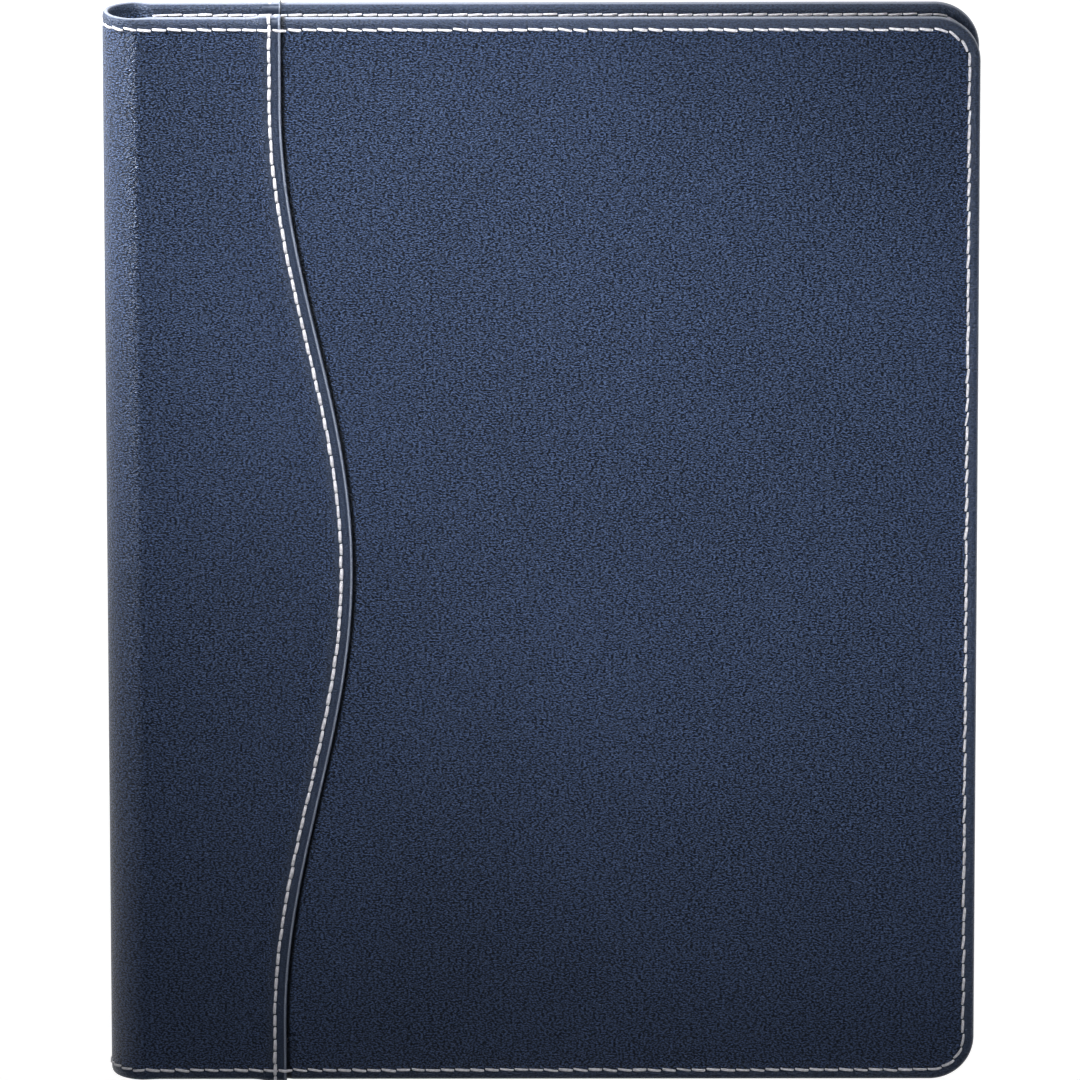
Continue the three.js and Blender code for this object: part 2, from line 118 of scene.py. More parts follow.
# The raised seam's cross-section: distance from the stitches towards the fore edge, and height
RIDGE = [
    (-5.0, 0.0), (-4.2, 0.03), (-3.4, 0.1), (-2.7, 0.22), (-2.0, 0.35), (-1.3, 0.42), (-0.85, 0.41),
    (-0.45, 0.3), (0.0, 0.2), (0.45, 0.3), (0.8, 0.39), (1.2, 0.41), (1.5, 0.43), (1.68, 0.5), (1.86, 0.58),
    (2.08, 0.61), (2.28, 0.57), (2.44, 0.45), (2.52, 0.28), (2.54, 0.1), (2.48, -0.1), (2.2, -0.2),
]
RIDGE_LIP = 19  # rows of the cross-section up to where the fold turns under
FOLD_HIGHLIGHT = 0.8  # how strongly a painted highlight lightens the fold's arris
EDGE_HIGHLIGHT = 0.8  # and the outermost line of the turned edges
BACK_SEAM = 0.2  # the back's seam is pressed nearly flat, so that the journal lies level

# The panel's cross-section where it dives under the folded edge: distance from the stitches, and depth
CREASE = [(3.9, 0.0), (3.5, 0.05), (3.2, 0.18), (3.0, 0.32), (2.8, 0.38), (2.5, 0.39), (-PANEL_MARGIN, 0.37)]
BESIDE_SEAM = 4.2  # the flat of the panel ends this far from the stitches

PEBBLE_ASPECT = 1.7  # width of a pebble to its height
SHADE_BLACK = "#05070b"  # of the painted shade in the crevice beside the fold and in the needle holes
GRAIN_TOP_TONE_AND_HIGHLIGHT = "#5e739e"  # of the grain's tops: their lighter tone with a painted highlight
HIGHLIGHT_PAINT = "#b4bccf"  # of the painted highlight on arrises
RULING = "#9fb0c4"


def linear(code):
    """A linear colour from its sRGB hex code."""
    channels = [int(code[i:i + 2], 16) / 255 for i in (1, 3, 5)]
    return [c / 12.92 if c <= 0.04045 else ((c + 0.055) / 1.055) ** 2.4 for c in channels]


def millimetres(name, description, default, low, high):
    return bpy.props.FloatProperty(name=name, description=f"{description}, in mm", default=default, min=low, max=high)


def quantity(name, description, default, low, high):
    return bpy.props.IntProperty(name=name, description=description, default=default, min=low, max=high)


def dye(name, description, code):
    return bpy.props.FloatVectorProperty(name=name, description=description, subtype="COLOR", default=linear(code))


class JournalSizes(bpy.types.PropertyGroup):
    """Sizes of the sewing and the finish, in millimetres."""
    edge_pitch: millimetres("Edge stitch", "Hole to hole along the edges", 3.15, 2, 5)
    seam_pitch: millimetres("Seam stitch", "Hole to hole along the curved seam", 2.77, 2, 5)
    spine_stitches: quantity("Spine stitches", "Stitches on each half of the spine's round", 4, 2, 8)
    thread_width: millimetres("Thread", "Width of the sewing thread", 0.54, 0.2, 1)
    grain_width: millimetres("Grain", "Width of one pebble of the grain", 0.58, 0.4, 4)
    pleats: quantity("Pleats", "Pleats in the turn-in at each corner", 6, 2, 12)
    rule_spacing: millimetres("Ruling", "Space between the lines on the paper", 7.1, 4, 12)


class JournalColours(bpy.types.PropertyGroup):
    """Base colours of the journal's materials."""
    leather: dye("Leather", "Navy leatherette", "#414f6a")
    thread: dye("Thread", "Off-white polyester", "#f6f4fb")
    lining: dye("Lining", "Dark woven nylon", "#20263a")
    paper: dye("Paper", "Ivory writing paper", "#f2ebd9")
    card: dye("Card", "Black cover card of the refill", "#22242b")
    tape: dye("Tape", "Black bookbinding cloth", "#17181d")
    board: dye("Board", "Greyboard inside the covers", "#8c8478")


def seam_x(y):
    """X of the curved seam's stitches at height y."""
    along = np.clip((np.asarray(y, float) + SEAM_BULGE_BELOW_MIDDLE) / SEAM_BULGE_HALF_LENGTH, -1, 1)
    return SEAM_BASE_X + SEAM_BULGE * 0.5 * (1 + np.cos(np.pi * along))


def smooth(share):
    share = np.clip(share, 0, 1)
    return share * share * (3 - 2 * share)


# Materials

def node(tree, kind, settings=None, inputs=None):
    """Adds a shader node, sets its properties, and fills or links its inputs by name or number."""
    made = tree.nodes.new(f"ShaderNode{kind}")
    for key, value in (settings or {}).items():
        setattr(made, key, value)
    for key, value in (inputs or {}).items():
        if isinstance(value, bpy.types.NodeSocket):
            tree.links.new(value, made.inputs[key])
        else:
            made.inputs[key].default_value = value
    return made


def new_material(name):
    """An empty node material and its tree."""
    material = bpy.data.materials.new(name)
    material.use_nodes = True
    material.node_tree.nodes.clear()
    return material, material.node_tree


def output(tree, shader):
    node(tree, "OutputMaterial", inputs={"Surface": shader.outputs[0]})


def surface(tree, colour, roughness, more):
    """Ends a tree in a principled surface; more holds its other inputs."""
    output(tree, node(tree, "BsdfPrincipled", inputs={"Base Color": colour, "Roughness": roughness, **more}))


def shade(colour, factor):
    return [min(1.0, c * factor) for c in colour] + [1.0]


def solid(code):
    return linear(code) + [1.0]


def noise(tree, place, scale, detail=2.0, **settings):
    return node(tree, "TexNoise", settings, {"Vector": place, "Scale": scale, "Detail": detail}).outputs


def rescaled(tree, value, span, result=(0.0, 1.0)):
    """Maps one span of values to another."""
    names = "Value", "From Min", "From Max", "To Min", "To Max"
    return node(tree, "MapRange", inputs=dict(zip(names, (value, *span, *result)))).outputs[0]


def reckon(tree, operation, *values):
    return node(tree, "Math", {"operation": operation}, dict(enumerate(values))).outputs[0]


def mark(tree, name):
    """A number that the mesh carries for each point."""
    return node(tree, "Attribute", {"attribute_name": name}).outputs["Fac"]


def mixed(tree, share, low, high):
    return node(tree, "Mix", {"data_type": "RGBA"}, {0: share, 6: low, 7: high}).outputs[2]


def ramp(tree, share, low, high):
    paint = node(tree, "ValToRGB", inputs={"Fac": share})
    paint.color_ramp.elements[0].color = low
    paint.color_ramp.elements[1].color = high
    return paint


def bump(tree, height, depth, **more):
    """The normal of a surface with a relief, whose depth is in mm."""
    return node(tree, "Bump", inputs={"Height": height, "Distance": depth * MM, **more}).outputs[0]


def leatherette_material():
    """Polyurethane leatherette, embossed with a pebbled grain and rolled: the grain's tops are painted lighter,
    partly their tone and partly a painted highlight in short dashes, its creases are painted dark as shade, and the
    sheet has a soft satin sheen. A painted highlight lines the fold's arris and the turned edges' outermost line, and
    painted shade, nearly black, lies in the crevice beside the fold."""
    colour = bpy.context.scene.journal_colours.leather
    grain = bpy.context.scene.journal_sizes.grain_width * MM
    material, tree = new_material("navy_leatherette")
    place = node(tree, "UVMap", {"uv_map": "cut"}).outputs[0]
    wander = noise(tree, place, 0.28 / grain)["Color"]
    drift = node(tree, "VectorMath", {"operation": "SCALE"}, {0: wander, "Scale": 0.55 * grain})
    warped = node(tree, "VectorMath", {"operation": "ADD"}, {0: place, 1: drift.outputs[0]})
    stretch = node(tree, "Mapping", inputs={
        "Vector": warped.outputs[0], "Scale": (1 / grain, PEBBLE_ASPECT / grain, 1.0)}).outputs[0]
    pebbles = node(tree, "TexVoronoi", {"feature": "SMOOTH_F1", "voronoi_dimensions": "2D"}, {
        "Vector": stretch, "Scale": 1.0, "Smoothness": 0.35})
    dome = rescaled(tree, pebbles.outputs["Distance"], (0.05, 0.75), (0.75, 0.0))
    wrinkles = noise(tree, stretch, 1.1, noise_dimensions="2D")["Fac"]
    embossed = reckon(tree, "MULTIPLY_ADD", wrinkles, 1.9, dome)
    height = node(tree, "Mix", {"data_type": "FLOAT"}, {0: mark(tree, "relief"), 2: 1.1, 3: embossed}).outputs[0]
    swell = noise(tree, place, 60.0)["Fac"]
    cloud = noise(tree, place, 14.0, 5.0)["Fac"]
    tone = reckon(tree, "MULTIPLY_ADD", cloud, 0.25, height)
    # Grain tone: creases painted dark as shade, tops painted light as a highlight
    paint = ramp(tree, rescaled(tree, tone, (0.95, 1.95)), shade(colour, 0.14), solid(GRAIN_TOP_TONE_AND_HIGHLIGHT))
    creases, tops = paint.color_ramp.elements
    creases.position, tops.position = 0.15, 0.85
    paint.color_ramp.elements.new(0.5).color = shade(colour, 0.95)
    # Painted highlight along the fold's arris and the turned edges' outermost line
    highlighted = mixed(tree, mark(tree, "painted_highlight"), paint.outputs[0], solid(HIGHLIGHT_PAINT))
    # Painted shade, nearly black, in the crevice beside the fold
    shaded = mixed(tree, mark(tree, "crease_shade"), highlighted, solid(SHADE_BLACK))
    soft = bump(tree, swell, 0.3, Strength=0.6)
    surface(tree, shaded, rescaled(tree, height, (0.5, 1.6), (0.48, 0.34)), {
        "Normal": bump(tree, height, 0.5, Strength=1.0, Normal=soft),
        "IOR": 1.5, "Specular IOR Level": 0.5, "Specular Tint": (0.75, 0.83, 1.0, 1.0)})
    return material


def hole_shade_material():
    """Painted shade inside a needle hole, matt and nearly black, with a faint random tone."""
    name = "needle_hole_shade"
    if name in bpy.data.materials:
        return bpy.data.materials[name]
    material, tree = new_material(name)
    fray = noise(tree, node(tree, "TexCoord").outputs["Object"], 6000.0)["Fac"]
    surface(tree, ramp(tree, fray, solid(SHADE_BLACK), solid("#11151f")).outputs[0], 0.9, {})
    return material


def thread_material():
    """Bonded polyester thread: two plies twisted tight, so a fine slanting rope shows along each stitch."""
    colour = bpy.context.scene.journal_colours.thread
    material, tree = new_material("polyester_thread")
    place = node(tree, "UVMap", {"uv_map": "cut"}).outputs[0]
    twist = node(tree, "TexWave", {"wave_type": "BANDS", "bands_direction": "DIAGONAL"}, {
        "Vector": place, "Scale": 0.5, "Distortion": 0.4, "Detail": 1.0}).outputs["Fac"]
    paint = ramp(tree, twist, shade(colour, 0.86), shade(colour, 1.0))
    paint.color_ramp.elements[1].position = 0.6
    surface(tree, paint.outputs[0], 0.55, {"Normal": bump(tree, twist, 0.05), "Sheen Weight": 0.2, "IOR": 1.5})
    return material


def lining_material():
    """Woven nylon lining: a fine twill, so thin slanting ribs with a dull silky sheen."""
    colour = bpy.context.scene.journal_colours.lining
    rib = 0.9 * MM
    material, tree = new_material("woven_nylon_lining")
    place = node(tree, "TexCoord").outputs["Object"]
    threads = node(tree, "Mapping", inputs={"Vector": place, "Scale": (1 / rib, 1 / rib, 1.0)})
    ribs = node(tree, "TexWave", {"bands_direction": "DIAGONAL"}, {
        "Vector": threads.outputs[0], "Scale": 0.32, "Distortion": 0.5, "Detail": 2.0})
    slub = noise(tree, place, 300.0, 3.0)["Fac"]
    weave = reckon(tree, "MULTIPLY", ribs.outputs["Fac"], slub)
    surface(tree, ramp(tree, weave, shade(colour, 0.6), shade(colour, 1.7)).outputs[0], 0.62, {
        "Normal": bump(tree, weave, 0.08), "Sheen Weight": 0.25, "IOR": 1.5})
    return material


def paper_material():
    """Uncoated ivory paper: matt, faintly fibrous, ruled with thin grey-blue lines."""
    colour = bpy.context.scene.journal_colours.paper
    spacing = bpy.context.scene.journal_sizes.rule_spacing * MM
    material, tree = new_material("uncoated_paper")
    place = node(tree, "TexCoord").outputs["Object"]
    axes = node(tree, "SeparateXYZ", inputs={0: place})
    from_line = reckon(tree, "PINGPONG", axes.outputs["Y"], spacing / 2)
    bare = rescaled(tree, from_line, (0.10 * MM, 0.16 * MM))
    fibre = noise(tree, place, 900.0, 4.0)["Fac"]
    tint = mixed(tree, fibre, shade(colour, 0.94), shade(colour, 1.02))
    surface(tree, mixed(tree, bare, solid(RULING), tint), 0.9, {"Normal": bump(tree, fibre, 0.02), "IOR": 1.45})
    return material


def fibrous_material(name, colour, grain, roughness, depth):
    """A pressed or coated sheet with a fine random tooth: card, greyboard or bookbinding cloth."""
    material, tree = new_material(name)
    tooth = noise(tree, node(tree, "TexCoord").outputs["Object"], 1 / (grain * MM), 5.0)["Fac"]
    surface(tree, ramp(tree, tooth, shade(colour, 0.75), shade(colour, 1.3)).outputs[0], roughness, {
        "Normal": bump(tree, tooth, depth), "IOR": 1.48})
    return material


def material_for(slot):
    """The material of a record slot, made the first time that it is asked for."""
    colours = bpy.context.scene.journal_colours
    makers = {
        "leatherette": ("navy_leatherette", leatherette_material),
        "thread": ("polyester_thread", thread_material),
        "lining": ("woven_nylon_lining", lining_material),
        "paper": ("uncoated_paper", paper_material),
    }
    sheets = {  # name, colour, grain in mm, roughness, depth of the tooth in mm
        "card": ("coated_cover_card", colours.card, 0.8, 0.6, 0.03),
        "tape": ("bookbinding_cloth", colours.tape, 0.5, 0.8, 0.08),
        "greyboard": ("pressed_greyboard", colours.board, 1.2, 0.9, 0.05),
    }
    if slot in sheets:
        return bpy.data.materials.get(sheets[slot][0]) or fibrous_material(*sheets[slot])
    name, make = makers[slot]
    return bpy.data.materials.get(name) or make()


# Shaping

def dress(piece, slot):
    piece.data.materials.clear()
    piece.data.materials.append(material_for(slot))


def select_only(piece):
    bpy.ops.object.select_all(action="DESELECT")
    piece.select_set(True)
    bpy.context.view_layer.objects.active = piece


def point_outward(piece):
    """Makes the faces of a closed piece point outwards."""
    select_only(piece)
    bpy.ops.object.mode_set(mode="EDIT")
    bpy.ops.mesh.select_all(action="SELECT")
    bpy.ops.mesh.normals_make_consistent(inside=False)
    bpy.ops.object.mode_set(mode="OBJECT")


def lay_cut(mesh, cut):
    """Makes the mesh's UV map, cut, from a place for each of its points."""
    while mesh.uv_layers:
        mesh.uv_layers.remove(mesh.uv_layers[0])
    corners = np.empty(len(mesh.loops), np.int32)
    mesh.loops.foreach_get("vertex_index", corners)
    mesh.uv_layers.new(name="cut").data.foreach_set("uv", cut[corners].astype(np.float32).ravel())


def thicken(piece, thickness):
    """Gives a sheet its thickness on its inner side."""
    select_only(piece)
    modifier = piece.modifiers.new("Solidify", "SOLIDIFY")
    modifier.thickness = thickness * MM
    modifier.offset = -1
    bpy.ops.object.modifier_apply(modifier=modifier.name)


def smooth_faces(piece, angle=40):
    select_only(piece)
    bpy.ops.object.shade_smooth_by_angle(angle=math.radians(angle))


def sheet_piece(name, side, points, cut, thickness, slot, marks=None):
    """A grid primitive whose points are moved to points[row][column], in mm, with its flat cut as UV
    and its marks, numbers for each point that the materials read, made into a sheet of a thickness."""
    rows, columns = points.shape[:2]
    bpy.ops.object.select_all(action="DESELECT")
    bpy.ops.mesh.primitive_grid_add(x_subdivisions=columns - 1, y_subdivisions=rows - 1, size=1)
    piece = bpy.context.object
    piece.name = piece.data.name = name
    mesh = piece.data
    mesh.vertices.foreach_set("co", (points * MM).astype(np.float32).ravel())
    lay_cut(mesh, cut.reshape(-1, 2) * MM)
    for mark_name, values in (marks or {}).items():
        layer = mesh.attributes.new(mark_name, "FLOAT", "POINT")
        layer.data.foreach_set("value", values.astype(np.float32).ravel())
    mesh.update()
    if side == "back":
        mesh.flip_normals()
    thicken(piece, thickness)
    smooth_faces(piece)
    dress(piece, slot)
    return piece


def bend(s, depth):
    """X and height of a point at run s from where the flat starts; a negative s goes round the spine."""
    turn = np.clip(-s, 0, None) / SPINE_RADIUS
    x = np.where(s < 0, SPINE_X - (SPINE_RADIUS - depth) * np.sin(turn), SPINE_X + s)
    z = np.where(s < 0, SPINE_RADIUS - (SPINE_RADIUS - depth) * np.cos(turn), depth)
    return x, z


def upright(side, x, y, z):
    """Points of a cover, whose z is counted from its outer face, in the journal's own frame."""
    return np.stack([x + 0 * z, y + 0 * z, z if side == "back" else THICKNESS - z], axis=-1)


def rim_profile():
    """Cross-section of a turned edge as rows of (inset, depth), from the raw edge inside, round the
    board, to the flat outer face. Both rows of stitches press a shallow channel."""
    half = COVER_THICKNESS / 2
    full = COVER_THICKNESS
    inside = [(TURN_IN, full - 0.3), (TURN_IN - 0.02, full - 0.08), (TURN_IN - 0.15, full), (4.6, full),
              (3.5, full - 0.01), (2.9, full - 0.06), (STITCH_INSET, full - INNER_CHANNEL), (1.8, full - 0.06)]
    roll = []
    for i in range(11):
        turn = math.pi * i / 10
        rise = math.copysign(abs(math.cos(turn)) ** 0.8, math.cos(turn))
        roll.append((half - half * math.sin(turn) ** 0.85, half + half * rise))
    outside = [(1.8, 0.05), (STITCH_INSET, CHANNEL), (2.9, 0.05), (3.5, 0.01), (4.6, 0.0), (RIM_REACH, 0.0)]
    return np.array(inside + roll + outside)


def rim_relief(inset):
    """Share of the grain that the rolling and sewing leave, at a distance in from the edge."""
    return 0.22 + 0.78 * smooth((np.asarray(inset, float) - 1.9) / 1.2)


def rim_highlight(inset):
    """Strength of the painted highlight round a turned edge: only along its outermost line."""
    return EDGE_HIGHLIGHT * np.exp(-(np.asarray(inset, float) / 0.12) ** 2)


def profile_frame(profile):
    """Lengths along a cross-section and its normals, which point out of the cover."""
    steps = np.diff(profile, axis=0)
    lengths = np.concatenate([[0], np.cumsum(np.hypot(steps[:, 0], steps[:, 1]))])
    tangent = np.gradient(profile, axis=0)
    tangent /= np.hypot(tangent[:, 0], tangent[:, 1])[:, None]
    return lengths, np.stack([tangent[:, 1], -tangent[:, 0]], axis=1)


def stations(corners, step, measure, fineness=1):
    """Steps along a line with round right-angle turns: outline points, inward normals and lengths.
    Lengths are taken at the distance measure inside the line, so that stitches come out even."""
    points = [Vector(c[:2]) for c in corners]
    radii = [c[2] for c in corners]
    outline, inward, lengths = [], [], [0.0]

    def place(point, normal, length):
        outline.append(point)
        inward.append(normal)
        if len(outline) > 1:
            lengths.append(lengths[-1] + length)

    for i in range(1, len(points)):
        heading = (points[i] - points[i - 1]).normalized()
        normal = Vector((heading.y, -heading.x))
        start = points[i - 1] + heading * radii[i - 1]
        end = points[i] - heading * radii[i]
        if i == 1:
            place(start, normal, 0)
        count = max(1, round((end - start).length / step))
        for k in range(1, count + 1):
            place(start.lerp(end, k / count), normal, (end - start).length / count)
        if i < len(points) - 1:
            ahead = (points[i + 1] - points[i]).normalized()
            turned = Vector((ahead.y, -ahead.x))
            centre = end + normal * radii[i]
            arc = (radii[i] - measure) * math.pi / 2
            count = max(4, round(arc / step * fineness))
            for k in range(1, count + 1):
                turn = math.pi / 2 * k / count
                facing = normal * math.cos(turn) + turned * math.sin(turn)
                place(centre - facing * radii[i], facing, arc / count)
    return np.array([list(p) for p in outline]), np.array([list(n) for n in inward]), np.array(lengths)


def cover_stations():
    """Round a cover's three free edges, from the spine at the head to the spine at the tail, in
    fifths of a stitch and finer round the corners."""
    sizes = bpy.context.scene.journal_sizes
    corners = [(SPINE_X, HALF_HEIGHT, 0), (FORE_X, HALF_HEIGHT, CORNER_RADIUS),
               (FORE_X, -HALF_HEIGHT, CORNER_RADIUS), (SPINE_X, -HALF_HEIGHT, 0)]
    straight = FORE_X - SPINE_X - CORNER_RADIUS
    round_part = (CORNER_RADIUS - STITCH_INSET) * math.pi / 2
    total = 2 * straight + 2 * round_part + 2 * (HALF_HEIGHT - CORNER_RADIUS)
    pitch = total / round(total / sizes.edge_pitch)
    outline, inward, lengths = stations(corners, pitch / 5, STITCH_INSET, fineness=4)
    return outline, inward, lengths, pitch


def at_holes(run, pitch):
    """1 at each needle hole along a row and 0 halfway between them."""
    return 0.5 + 0.5 * np.cos(2 * np.pi * run / pitch)


def panel_skin(side):
    """The plain panel: turned edge on three sides, then flat leather as far as under the wrap."""
    outline, inward, lengths, pitch = cover_stations()
    keep = outline[:, 0] > SEAM_BASE_X - PANEL_MARGIN
    outline, inward, lengths = outline[keep], inward[keep], lengths[keep]
    profile = rim_profile()
    along, _ = profile_frame(profile)
    unrolled = RIM_REACH - (along[-1] - along)
    inset = np.tile(profile[:, 0], (len(outline), 1))
    depth = np.tile(profile[:, 1], (len(outline), 1))

    near = np.exp(-((profile[:, 0] - STITCH_INSET) / PUCKER_REACH) ** 2)
    pucker = EDGE_PUCKER * at_holes(lengths, pitch)[:, None] * near
    outer = profile[:, 1] < COVER_THICKNESS / 2
    depth += np.where(outer, pucker, -pucker)

    turn = np.arctan2(-inward[:, 1], -inward[:, 0])
    corner = np.minimum(np.abs(inward[:, 0]), np.abs(inward[:, 1])) > 1e-6
    pleats = bpy.context.scene.journal_sizes.pleats
    wave = np.abs(np.sin(turn * 2 * pleats + 0.7 * np.sin(turn * 9))) ** 0.6
    fade = smooth((profile[:, 0] - 0.2) / 1.2) * smooth(np.abs(np.sin(2 * turn))[:, None] * 2.5)
    depth += np.where(corner[:, None] & ~outer, PLEAT_DEPTH * (0.5 - wave)[:, None] * fade, 0)

    # Flat leather from the rim to the seam, then the rows that dive under the fold
    reach = HALF_HEIGHT - RIM_REACH - 3
    seam_y = np.linspace(reach, -reach, len(outline))[:, None]
    shares = smooth(np.linspace(0, 1, 10))[1:]
    rim = outline + inward * RIM_REACH
    flat_x = np.hstack([rim[:, :1] * (1 - shares) + (seam_x(seam_y) + BESIDE_SEAM) * shares,
                        seam_x(seam_y) + [offset for offset, _ in CREASE]])
    flat_y = np.hstack([rim[:, 1:] * (1 - shares) + seam_y * shares, np.tile(seam_y, len(CREASE))])
    x = np.hstack([outline[:, :1] + inward[:, :1] * inset, flat_x])
    y = np.hstack([outline[:, 1:] + inward[:, 1:] * inset, flat_y])
    u = np.hstack([outline[:, :1] + inward[:, :1] * unrolled, flat_x])
    v = np.hstack([outline[:, 1:] + inward[:, 1:] * unrolled, flat_y])
    depth = np.hstack([depth, np.zeros_like(flat_x)])

    offset, sunk = np.array(CREASE[::-1]).T
    beside = x - seam_x(y)
    faces_out = depth < COVER_THICKNESS / 2
    depth += np.where(faces_out, np.interp(beside, offset, sunk), 0)
    relief, painted_highlight = np.ones_like(depth), np.zeros_like(depth)
    relief[:, :len(profile)] = rim_relief(profile[:, 0])
    # Painted highlight along the rim's outermost line
    painted_highlight[:, :len(profile)] = rim_highlight(profile[:, 0])
    # Painted shade where the panel dives under the fold
    crease_shade = np.where(faces_out, smooth((3.45 - beside) / 0.45), 0)
    piece = sheet_piece(
        f"{side}_panel_skin", side, upright(side, x, y, depth), np.stack([u, v], axis=-1), LEATHER, "leatherette",
        {"relief": relief, "crease_shade": crease_shade, "painted_highlight": painted_highlight})
    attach(piece, f"{side}_cover")
    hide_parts(f"{side}_panel_leather")


def wrap_rows():
    """Rows across the spine wrap, from inside the tail edge to inside the head edge, as columns of
    y, depth, outward y, outward depth and unrolled y."""
    profile = rim_profile()
    along, normals = profile_frame(profile)
    unrolled = HALF_HEIGHT - RIM_REACH + (along[-1] - along)
    tail = np.column_stack([profile[:, 0] - HALF_HEIGHT, profile[:, 1], normals, -unrolled])
    head = tail[::-1] * [-1, 1, -1, 1, -1]
    flat = HALF_HEIGHT - RIM_REACH
    count = round(2 * flat / (bpy.context.scene.journal_sizes.seam_pitch / 4))
    y = np.linspace(-flat, flat, count + 1)[1:-1]
    middle = np.column_stack([y, 0 * y, 0 * y, 0 * y - 1, y])
    return np.concatenate([tail, middle, head])


def edge_scale(s):
    """How far the turned edge keeps the board's thickness: it thins out round the spine."""
    thin = SPINE_EDGE_THICKNESS / COVER_THICKNESS
    return thin + (1 - thin) * smooth((np.asarray(s, float) + 1) / 4.5)


def wrap_surface(side, s, height, rows):
    """Points of the wrap where run s and height above the leather meet each of the rows."""
    y, depth, out_y, out_depth = rows[:, 0], rows[:, 1], rows[:, 2], rows[:, 3]
    scaled = depth[:, None] * edge_scale(s)
    x, z = bend(s, scaled + height * out_depth[:, None])
    return upright(side, x, y[:, None] + height * out_y[:, None], z)


def wrap_skin(side):
    """The spine wrap of one cover, from the middle of the spine to the folded edge at the seam."""
    sizes = bpy.context.scene.journal_sizes
    rows = wrap_rows()
    y, flat_y = rows[:, 0], rows[:, 4]
    inset = HALF_HEIGHT - np.abs(y)
    pitch = cover_stations()[3]
    arc = -HALF_ARC + HALF_ARC * np.arange(24) / 24
    fractions = np.arange(33) / 33
    ridge, rise = np.array(RIDGE).T
    if side == "back":
        rise = rise * BACK_SEAM
    run_to_ridge = (seam_x(y) + ridge[0] - SPINE_X)[:, None]
    s = np.hstack([np.tile(arc, (len(rows), 1)), run_to_ridge * fractions, (seam_x(y) - SPINE_X)[:, None] + ridge])
    plain = len(arc) + len(fractions)
    height = np.tile(np.concatenate([np.zeros(plain), rise]), (len(rows), 1))
    height[:, plain:] -= SEAM_PUCKER * at_holes(flat_y, sizes.seam_pitch)[:, None] * np.exp(-(ridge / 0.4) ** 2)
    edge_hole = at_holes(s, np.where(s < 0, HALF_ARC / sizes.spine_stitches, pitch))
    near = np.exp(-((inset - STITCH_INSET) / PUCKER_REACH) ** 2)
    height -= EDGE_PUCKER * edge_hole * near[:, None]

    flat_s = s.copy()
    steps = np.abs(np.diff(ridge, prepend=ridge[0])) + np.abs(np.diff(rise, prepend=rise[0]))
    flat_s[:, plain:] = run_to_ridge + np.cumsum(steps)
    cut = np.stack([flat_s + SPINE_X, np.tile(flat_y[:, None], s.shape[1])], axis=-1)
    relief = np.tile(rim_relief(inset)[:, None], s.shape[1])
    relief[:, plain:] *= 0.15 + 0.85 * smooth((-ridge - 0.5) / 2.0)
    # Painted shade on the fold's underside, in the crevice
    crease_shade = np.zeros_like(relief)
    crease_shade[:, plain:] = np.where(ridge > 2, smooth((0.3 - rise / rise.max() * 0.6) / 0.2), 0)
    # Painted highlight along the turned edges' outermost line and the fold's arris
    painted_highlight = np.tile(rim_highlight(inset)[:, None], s.shape[1])
    arris = FOLD_HIGHLIGHT * np.exp(-((ridge - 2.16) / 0.16) ** 2) * (rise > 0)
    painted_highlight[:, plain:] = np.maximum(painted_highlight[:, plain:], arris)
    piece = sheet_piece(
        f"{side}_wrap_skin", side, wrap_surface(side, s, height, rows), cut, LEATHER, "leatherette",
        {"relief": relief, "crease_shade": crease_shade, "painted_highlight": painted_highlight})
    blend_over_spine(piece, side)
    names = [f"spine_wrap_{side}"] + (["spine_leather"] if side == "front" else [])
    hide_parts(*names)


def blend_over_spine(piece, side):
    """Bakes a piece's placement into its mesh, alike for both sides; it doesn't bend the piece over the spine."""
    if side == "front":
        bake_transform(piece)
    else:
        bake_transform(piece)


# Sewing

def take_shape(pattern):
    """Points and faces of a pattern, which is removed. The faces are sorted, so each run lists them alike."""
    points = np.array([v.co for v in pattern.data.vertices])
    faces = sorted(tuple(f.vertices) for f in pattern.data.polygons)
    bpy.data.objects.remove(pattern)
    return points, faces


def stitch_pattern():
    """One stitch, modelled along X from hole to hole: it is thin where it dives into the leather and
    full in the middle. Its length is 1, and its width and height are in mm."""
    width = bpy.context.scene.journal_sizes.thread_width
    rings = [(-0.49, -0.3, 0.6), (-0.46, -0.06, 0.76), (-0.39, 0.1, 0.9), (-0.24, 0.18, 1.0), (0.0, 0.2, 1.05),
             (0.24, 0.18, 1.0), (0.39, 0.1, 0.9), (0.46, -0.06, 0.76), (0.49, -0.3, 0.6)]  # x, z, fullness
    flatness = 0.85  # height of the thread's section to its width
    last_x, last_z, last_fullness = rings[0][0], rings[0][1], 1.0
    bpy.ops.object.select_all(action="DESELECT")
    bpy.ops.mesh.primitive_circle_add(
        vertices=6, radius=width / 2, fill_type="NGON", rotation=(0, math.pi / 2, 0), location=(last_x, 0, last_z))
    stitch = bpy.context.object
    bpy.ops.object.transform_apply(location=True, rotation=True, scale=True)
    bpy.ops.object.mode_set(mode="EDIT")
    bpy.ops.mesh.select_all(action="SELECT")
    for number, (x, z, fullness) in enumerate(rings):
        if number:
            bpy.ops.mesh.extrude_region_move(TRANSFORM_OT_translate={"value": (x - last_x, 0, z - last_z)})
        share = fullness / last_fullness
        bpy.ops.transform.resize(value=(1, share, share if number else share * flatness), center_override=(x, 0, z))
        last_x, last_z, last_fullness = x, z, fullness
    bpy.ops.object.mode_set(mode="OBJECT")
    point_outward(stitch)
    return take_shape(stitch)


